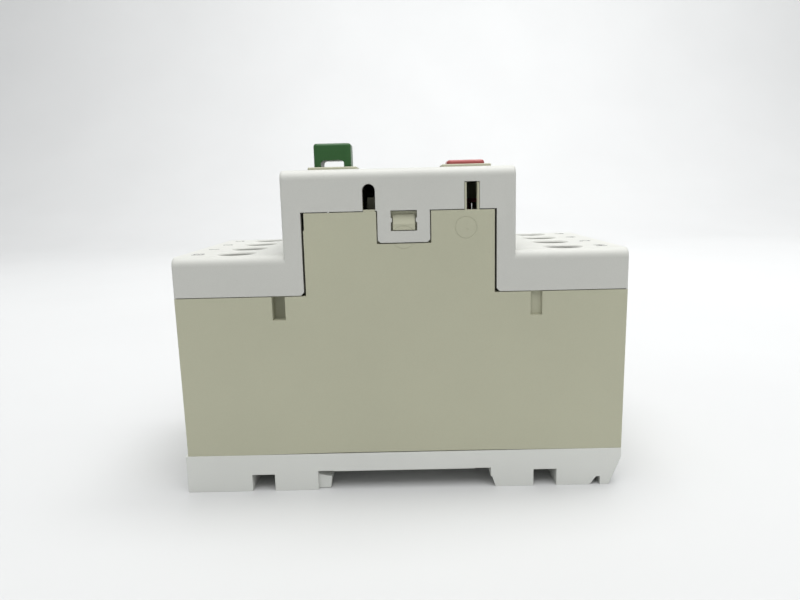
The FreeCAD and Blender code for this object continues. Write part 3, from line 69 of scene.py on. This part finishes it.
def make_sweep():
    """A pale floor that curves up into a backdrop."""
    half_width, front, bend_start, bend_radius, top = 3.0, -2.5, 0.55, 0.5, 2.6
    line = [(front, 0.0), (bend_start, 0.0)]
    steps = 24
    for step in range(1, steps + 1):
        turn = math.pi / 2 * step / steps
        line.append((bend_start + bend_radius * math.sin(turn), bend_radius * (1 - math.cos(turn))))
    line.append((bend_start + bend_radius, top))
    corners = [(side * half_width, along, up) for along, up in line for side in (-1, 1)]
    faces = [(2 * row, 2 * row + 1, 2 * row + 3, 2 * row + 2) for row in range(len(line) - 1)]
    mesh = bpy.data.meshes.new("floor")
    mesh.from_pydata(corners, [], faces)
    mesh.shade_smooth()
    floor = bpy.data.objects.new("floor", mesh)
    bpy.context.scene.collection.objects.link(floor)
    floor.data.materials.append(floor_material())


def add_light(name, place, aim, size, power):
    """A soft square light that faces a point."""
    data = bpy.data.lights.new(name, "AREA")
    data.shape = "SQUARE"
    data.size = size
    data.energy = power
    lamp = bpy.data.objects.new(name, data)
    lamp.location = place
    lamp.rotation_euler = (Vector(aim) - Vector(place)).to_track_quat("-Z", "Y").to_euler()
    bpy.context.scene.collection.objects.link(lamp)


def set_light():
    """An even pale surround, a wide light above, a weak one from the right and one for the backdrop."""
    world = bpy.data.worlds.new("studio")
    world.use_nodes = True
    background = world.node_tree.nodes["Background"]
    background.inputs["Color"].default_value = (0.98, 0.99, 1.0, 1)
    background.inputs["Strength"].default_value = 0.49
    bpy.context.scene.world = world
    add_light("overhead", (0.05, -0.32, 1.1), (0, 0, 0), 1.2, 11.8)
    add_light("right_fill", (1.0, -0.5, 0.7), (0, 0.1, 0.05), 0.6, 0.7)
    add_light("backdrop_light", (0.15, 0.25, 0.9), (0.1, 0.95, 0.25), 0.7, 8.5)
    bpy.context.scene.view_settings.view_transform = "Standard"


# ---------------------------------------------------------------- materials

class Shader:
    """A material with a principled shader and a few short ways to add nodes."""

    def __init__(self, name):
        self.material = bpy.data.materials.new(name)
        self.material.use_nodes = True
        self.nodes = self.material.node_tree.nodes
        self.links = self.material.node_tree.links
        self.surface = self.nodes["Principled BSDF"]
        self.place = self.nodes.new("ShaderNodeTexCoord").outputs["Object"]

    def set(self, **values):
        """Set plain inputs of the shader; an underscore stands for a space."""
        for name, value in values.items():
            self.surface.inputs[name.replace("_", " ")].default_value = value

    def noise(self, scale, detail=2.0, stretch=None):
        """A noise pattern in the piece's own space; scale is in features per metre."""
        node = self.nodes.new("ShaderNodeTexNoise")
        node.inputs["Scale"].default_value = scale
        node.inputs["Detail"].default_value = detail
        place = self.place
        if stretch:
            mapping = self.nodes.new("ShaderNodeMapping")
            mapping.inputs["Scale"].default_value = stretch
            self.links.new(place, mapping.inputs["Vector"])
            place = mapping.outputs["Vector"]
        self.links.new(place, node.inputs["Vector"])
        return node.outputs["Fac"]

    def ramp(self, factor, stops):
        """A colour ramp with (position, colour) stops."""
        node = self.nodes.new("ShaderNodeValToRGB")
        while len(node.color_ramp.elements) < len(stops):
            node.color_ramp.elements.new(0.5)
        for element, (position, color) in zip(node.color_ramp.elements, stops):
            element.position = position
            element.color = (*color, 1)
        self.links.new(factor, node.inputs["Fac"])
        return node.outputs["Color"]

    def tones(self, factor, color, dark, light):
        """One colour that wavers between a darker and a lighter tone of itself."""
        return self.ramp(factor, [(NOISE_LOW, scaled(color, dark)), (NOISE_HIGH, scaled(color, light))])

    def spread(self, factor, low, high):
        """Map a noise pattern to a range."""
        node = self.nodes.new("ShaderNodeMapRange")
        node.inputs["From Min"].default_value = NOISE_LOW
        node.inputs["From Max"].default_value = NOISE_HIGH
        node.inputs["To Min"].default_value = low
        node.inputs["To Max"].default_value = high
        self.links.new(factor, node.inputs["Value"])
        return node.outputs["Result"]

    def blend(self, factor, first, second):
        """Mix two colours, each a socket or a plain value."""
        node = self.nodes.new("ShaderNodeMix")
        node.data_type = "RGBA"
        for name, value in (("Factor", factor), ("A", first), ("B", second)):
            socket = [s for s in node.inputs if s.name == name and s.enabled][0]
            if isinstance(value, bpy.types.NodeSocket):
                self.links.new(value, socket)
            elif name == "Factor":
                socket.default_value = value
            else:
                socket.default_value = (*value, 1)
        return [s for s in node.outputs if s.enabled][0]

    def edges(self, radius):
        """How far the surface turns within a short distance, from 0 on flats to 1 on sharp edges,
        and the normal that this rounding gives."""
        bevel = self.nodes.new("ShaderNodeBevel")
        bevel.samples = 4
        bevel.inputs["Radius"].default_value = radius
        geometry = self.nodes.new("ShaderNodeNewGeometry")
        dot = self.nodes.new("ShaderNodeVectorMath")
        dot.operation = "DOT_PRODUCT"
        self.links.new(bevel.outputs["Normal"], dot.inputs[0])
        self.links.new(geometry.outputs["Normal"], dot.inputs[1])
        node = self.nodes.new("ShaderNodeMapRange")
        node.inputs["From Min"].default_value = 0.999
        node.inputs["From Max"].default_value = 0.85
        self.links.new(dot.outputs["Value"], node.inputs["Value"])
        return node.outputs["Result"], bevel.outputs["Normal"]

    def bump(self, height, distance, strength=1.0, below=None):
        """A fine relief, on top of another normal where one is given."""
        node = self.nodes.new("ShaderNodeBump")
        node.inputs["Distance"].default_value = distance
        node.inputs["Strength"].default_value = strength
        self.links.new(height, node.inputs["Height"])
        if below is not None:
            self.links.new(below, node.inputs["Normal"])
        return node.outputs["Normal"]

    def connect(self, output, name):
        self.links.new(output, self.surface.inputs[name])


def scaled(color, amount):
    """A darker or lighter tone of a colour."""
    return tuple(min(1.0, channel * amount) for channel in color)


def plastic(name, color, roughness, grain=0.012 * MM):
    """Moulded plastic: eroded-steel grain, faint flow clouds, a painted highlight along the edges in
    patches and tiny faint specks.
    """
    cloud_scale, grain_scale, speck_scale, highlight_patch_scale, sheen_scale = 38, 5200, 2400, 700, 160
    grain_share, speck_share = 0.3, 0.14
    edge = 0.18 * MM
    shader = Shader(name)
    base = shader.tones(shader.noise(cloud_scale, 3), color, 0.965, 1.03)
    fine = shader.noise(grain_scale, 2)
    base = shader.blend(grain_share, base, shader.tones(fine, color, 0.95, 1.05))
    specks = shader.ramp(shader.noise(speck_scale, 1), [(0.76, (0, 0, 0)), (0.8, (speck_share,) * 3)])
    base = shader.blend(specks, base, scaled(color, 0.5))
    # painted highlight: the colour is lightened on sharp edges, in patches, where light would catch them
    edge_highlight, soft_normal = shader.edges(edge)
    highlight_patches = shader.ramp(shader.noise(highlight_patch_scale, 2), [(0.35, (0.1,) * 3), (0.7, (0.5,) * 3)])
    edge_highlight_share = shader.blend(edge_highlight, (0, 0, 0), highlight_patches)
    base = shader.blend(edge_highlight_share, base, scaled(color, 1.22))
    shader.connect(base, "Base Color")
    sheen = shader.spread(shader.noise(sheen_scale, 3), roughness - 0.05, roughness + 0.07)
    shader.connect(sheen, "Roughness")
    shader.connect(shader.bump(fine, grain, 1.0, soft_normal), "Normal")
    shader.set(Specular_IOR_Level=0.45)
    return shader.material


def metal(name, color, roughness):
    """Plated or rolled metal: drawn lines one way, cloudy plating and edges brightened in colour as a
    painted highlight.
    """
    line_scale, cloud_scale = 2600, 220
    along_z = (1, 1, 14)
    edge, relief = 0.08 * MM, 0.004 * MM
    shader = Shader(name)
    lines = shader.noise(line_scale, 3, along_z)
    base = shader.tones(shader.noise(cloud_scale, 3), color, 0.82, 1.1)
    # painted highlight: the colour is lightened on sharp edges, where light would catch them
    edge_highlight, soft_normal = shader.edges(edge)
    base = shader.blend(edge_highlight, base, scaled(color, 1.25))
    shader.connect(base, "Base Color")
    shader.connect(shader.spread(lines, roughness - 0.08, roughness + 0.12), "Roughness")
    shader.connect(shader.bump(lines, relief, 0.8, soft_normal), "Normal")
    shader.set(Metallic=1.0)
    return shader.material


def ink(name, color):
    """Pad-printed ink, a little uneven."""
    cover_scale, sheen_scale = 1800, 900
    shader = Shader(name)
    shader.connect(shader.tones(shader.noise(cover_scale, 3), color, 0.85, 1.15), "Base Color")
    shader.connect(shader.spread(shader.noise(sheen_scale, 2), 0.4, 0.6), "Roughness")
    return shader.material


def floor_material():
    """Matt white board with a barely visible mottle."""
    mottle_scale, relief_scale = 9, 900
    relief = 0.02 * MM
    shader = Shader("floor_board")
    board = [(NOISE_LOW, (0.565, 0.57, 0.57)), (NOISE_HIGH, (0.58, 0.585, 0.585))]
    shader.connect(shader.ramp(shader.noise(mottle_scale, 4), board), "Base Color")
    shader.connect(shader.bump(shader.noise(relief_scale, 2), relief, 0.4), "Normal")
    shader.set(Roughness=0.8, Specular_IOR_Level=0.15)
    return shader.material


def slot_materials():
    """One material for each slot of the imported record."""
    polished_grain = 0.006 * MM
    return {
        "base_plastic": plastic("base_plastic", (0.635, 0.645, 0.612), 0.5),
        "clip_plastic": plastic("clip_plastic", (0.56, 0.58, 0.57), 0.5),
        "casing_plastic": plastic("casing_plastic", (0.437, 0.436, 0.323), 0.55),
        "cover_plastic": plastic("cover_plastic", (0.53, 0.533, 0.498), 0.48),
        "green_plastic": plastic("green_plastic", (0.019, 0.09, 0.018), 0.36, polished_grain),
        "red_plastic": plastic("red_plastic", (0.36, 0.075, 0.07), 0.38, polished_grain),
        "dial_plastic": plastic("dial_plastic", (0.60, 0.60, 0.56), 0.45),
        "black_plastic": plastic("black_plastic", (0.02, 0.02, 0.022), 0.45),
        "zinc_steel": metal("zinc_steel", (0.62, 0.62, 0.60), 0.3),
        "spring_steel": metal("spring_steel", (0.42, 0.42, 0.43), 0.28),
        "dark_steel": metal("dark_steel", (0.26, 0.26, 0.27), 0.42),
        "bimetal_strip": metal("bimetal_strip", (0.48, 0.44, 0.37), 0.34),
        "brass": metal("brass", (0.72, 0.52, 0.24), 0.3),
        "copper": metal("copper", (0.72, 0.33, 0.17), 0.3),
    }


def dress_nodes(materials):
    """Give every CAD node the finish of its slot."""
    for part in frame["record"]["subparts"]:
        node = frame["nodes"][part["node"]]
        for slot in node.material_slots:
            slot.material = materials[part["material_slot"]]


# ---------------------------------------------------------------- small detail pieces

def surface_height(node, x, y):
    """Height of a node's topmost surface at a place."""
    above, down = Vector((x, y, 1)), Vector((0, 0, -1))
    hit, where = frame["nodes"][node].ray_cast(above, down)[:2]
    if not hit:
        raise ValueError("nothing of %s lies under %s, %s" % (node, x, y))
    return where.z


def add_piece(name, mesh, material, body):
    """Link a mesh as a piece that rides on a CAD body."""
    piece = bpy.data.objects.new(name, mesh)
    bpy.context.scene.collection.objects.link(piece)
    piece.data.materials.append(material)
    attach(piece, body)


def add_bar(shape, middle, size, turn=0.0, soft=0.0):
    """Add an upright bar, turned about Z, to a bmesh, with its vertical edges rounded."""
    made = bmesh.ops.create_cube(shape, size=1.0)["verts"]
    place = Matrix.Translation(middle) @ Matrix.Rotation(turn, 4, "Z") @ Matrix.Diagonal((*size, 1))
    bmesh.ops.transform(shape, matrix=place, verts=made)
    if soft:
        edges = [edge for edge in {edge for corner in made for edge in corner.link_edges}
                 if abs((edge.verts[0].co - edge.verts[1].co).normalized().z) > 0.9]
        bmesh.ops.bevel(shape, geom=edges, offset=soft, segments=3, affect="EDGES")


def finish_mesh(name, shape):
    """Turn a bmesh into a mesh and free it."""
    mesh = bpy.data.meshes.new(name)
    shape.to_mesh(mesh)
    shape.free()
    return mesh


def number_mesh(name, text, middle, size, turn):
    """A flat number with a little thickness, standing on a surface."""
    curve = bpy.data.curves.new(name, "FONT")
    curve.body = text
    curve.size = size
    curve.extrude = PAINT / 2
    curve.resolution_u = 6
    curve.align_x = "CENTER"
    curve.align_y = "CENTER"
    letter = bpy.data.objects.new(name, curve)
    bpy.context.scene.collection.objects.link(letter)
    bpy.context.view_layer.update()
    evaluated = letter.evaluated_get(bpy.context.evaluated_depsgraph_get())
    mesh = bpy.data.meshes.new_from_object(evaluated)
    mesh.transform(Matrix.Translation(middle) @ Matrix.Rotation(turn, 4, "Z"))
    bpy.data.objects.remove(letter)
    bpy.data.curves.remove(curve)
    return mesh


def add_terminal_numbers(print_ink):
    """Plain terminal numbers beside the screw holes: odd on the line side, even on the load side."""
    from_middle, size = 40.2 * MM, 3.2 * MM
    for side, numbers in ((-1, ("13", "1", "3", "5")), (1, ("14", "2", "4", "6"))):
        for pole, number in zip(POLES, numbers):
            x = side * from_middle
            z = surface_height("cover", x, pole) + PAINT / 2
            name = "terminal_number_" + number
            mesh = number_mesh(name, number, (x, pole, z), size, math.pi / 2)
            add_piece(name, mesh, print_ink, "housing")


def add_dial_scale(print_ink):
    """Ticks and plain figures round the current dial."""
    inner, outer, tick_width = 5.0 * MM, 6.1 * MM, 0.22 * MM
    figure_ring, figure_size = 7.6 * MM, 1.9 * MM
    start, sweep = math.radians(225), math.radians(-270)
    steps, steps_per_figure = 12, 3
    short = 0.6                         # length of a tick without a figure, as a share
    shape = bmesh.new()
    top = surface_height("cover", inner, inner)
    for step in range(steps + 1):
        turn = start + sweep * step / steps
        length = (outer - inner) * (short if step % steps_per_figure else 1.0)
        reach = inner + length / 2
        middle = Vector((reach * math.cos(turn), reach * math.sin(turn), top + PAINT / 2))
        add_bar(shape, middle, (length, tick_width, PAINT), turn)
    add_piece("dial_scale", finish_mesh("dial_scale", shape), print_ink, "housing")
    figured_steps = range(0, steps + 1, steps_per_figure)
    for step, figure in zip(figured_steps, ("4", "4.5", "5", "5.5", "6.3")):
        turn = start + sweep * step / steps
        middle = (figure_ring * math.cos(turn), figure_ring * math.sin(turn), top + PAINT / 2)
        name = "dial_figure_%d" % step
        mesh = number_mesh(name, figure, middle, figure_size, 0)
        add_piece(name, mesh, print_ink, "housing")


def add_dial_arrow(print_ink):
    """A small printed triangle at the end of the slot in the dial head."""
    tip, tail, half = 4.0 * MM, 3.4 * MM, 0.35 * MM
    low = surface_height("current_dial", 0, tail)
    shape = bmesh.new()
    rings = []
    for z in (low, low + PAINT):
        rings.append([shape.verts.new(place) for place in ((-half, tail, z), (half, tail, z), (0, tip, z))])
    shape.faces.new(reversed(rings[0]))
    shape.faces.new(rings[1])
    for number in range(3):
        following = (number + 1) % 3
        shape.faces.new((rings[0][number], rings[0][following], rings[1][following], rings[1][number]))
    add_piece("dial_arrow", finish_mesh("dial_arrow", shape), print_ink, "current_dial")


def add_start_sign(paint):
    """White paint in the sunk stroke of the start button."""
    place, half, width = -14.15 * MM, 1.3 * MM, 0.5 * MM
    floor = surface_height("start_button", place, 0)
    shape = bmesh.new()
    size = (width * SIGN_WIDTH, 2 * half * SIGN_LENGTH, SIGN_FILL)
    add_bar(shape, (place, 0, floor + SIGN_FILL / 2), size)
    add_piece("start_sign", finish_mesh("start_sign", shape), paint, "start_button")


def add_stop_sign(paint):
    """White paint in the sunk ring of the stop button."""
    place, radius, width = 14.7 * MM, 1.3 * MM, 0.5 * MM
    steps = 48
    floor = surface_height("stop_button", place, radius - width / 2)
    outside, inside = radius * SIGN_LENGTH, radius - width * SIGN_WIDTH
    section = [(outside, 0), (outside, SIGN_FILL), (inside, SIGN_FILL), (inside, 0)]
    shape = bmesh.new()
    rings = []
    for step in range(steps):
        turn = 2 * math.pi * step / steps
        rings.append([shape.verts.new((place + reach * math.cos(turn), reach * math.sin(turn), floor + z))
                      for reach, z in section])
    for step in range(steps):
        ring, following = rings[step], rings[(step + 1) % steps]
        for number in range(len(section)):
            after = (number + 1) % len(section)
            shape.faces.new((ring[number], following[number], following[after], ring[after]))
    bmesh.ops.recalc_face_normals(shape, faces=shape.faces)
    add_piece("stop_sign", finish_mesh("stop_sign", shape), paint, "stop_button")


def add_entry_frames(material):
    """A low raised frame round each wire entry in the end walls."""
    entry_low, entry_top, entry_half = 28.0 * MM, 36.0 * MM, 3.6 * MM
    face, depth, edge = 43.92 * MM, 0.36 * MM, 0.6 * MM
    soft, overlap = 0.08 * MM, 0.1 * MM
    for side, name in ((-1, "line_entry_frames"), (1, "load_entry_frames")):
        shape = bmesh.new()
        for pole in POLES:
            for z in (entry_low - edge / 2, entry_top + edge / 2):
                size = (depth, 2 * (entry_half + edge), edge)
                add_bar(shape, (side * face, pole, z), size, soft=soft)
            for along in (-entry_half - edge / 2, entry_half + edge / 2):
                middle = (side * face, pole + along, (entry_low + entry_top) / 2)
                add_bar(shape, middle, (depth, edge, entry_top - entry_low + overlap), soft=soft)
        add_piece(name, finish_mesh(name, shape), material, "housing")


def add_clip_ridges(material):
    """Grip ridges under the pull tab of the rail clip."""
    shape = bmesh.new()
    height, soft = 0.22 * MM, 0.1 * MM
    size = (0.5 * MM, 12 * MM, 0.3 * MM)
    for x in (35.6 * MM, 36.8 * MM, 38.0 * MM):
        add_bar(shape, (x, 0, height), size, soft=soft)
    add_piece("clip_ridges", finish_mesh("clip_ridges", shape), material, "din_clip")


def build_details(materials):
    """Every piece that is added to the CAD nodes."""
    black_ink = ink("black_ink", (0.05, 0.05, 0.055))
    white_paint = ink("white_paint", (0.75, 0.75, 0.72))
    add_terminal_numbers(black_ink)
    add_dial_scale(black_ink)
    add_dial_arrow(black_ink)
    add_start_sign(white_paint)
    add_stop_sign(white_paint)
    add_entry_frames(materials["casing_plastic"])
    add_clip_ridges(materials["clip_plastic"])


set_camera()
set_light()
make_sweep()
finishes = slot_materials()
dress_nodes(finishes)
build_details(finishes)
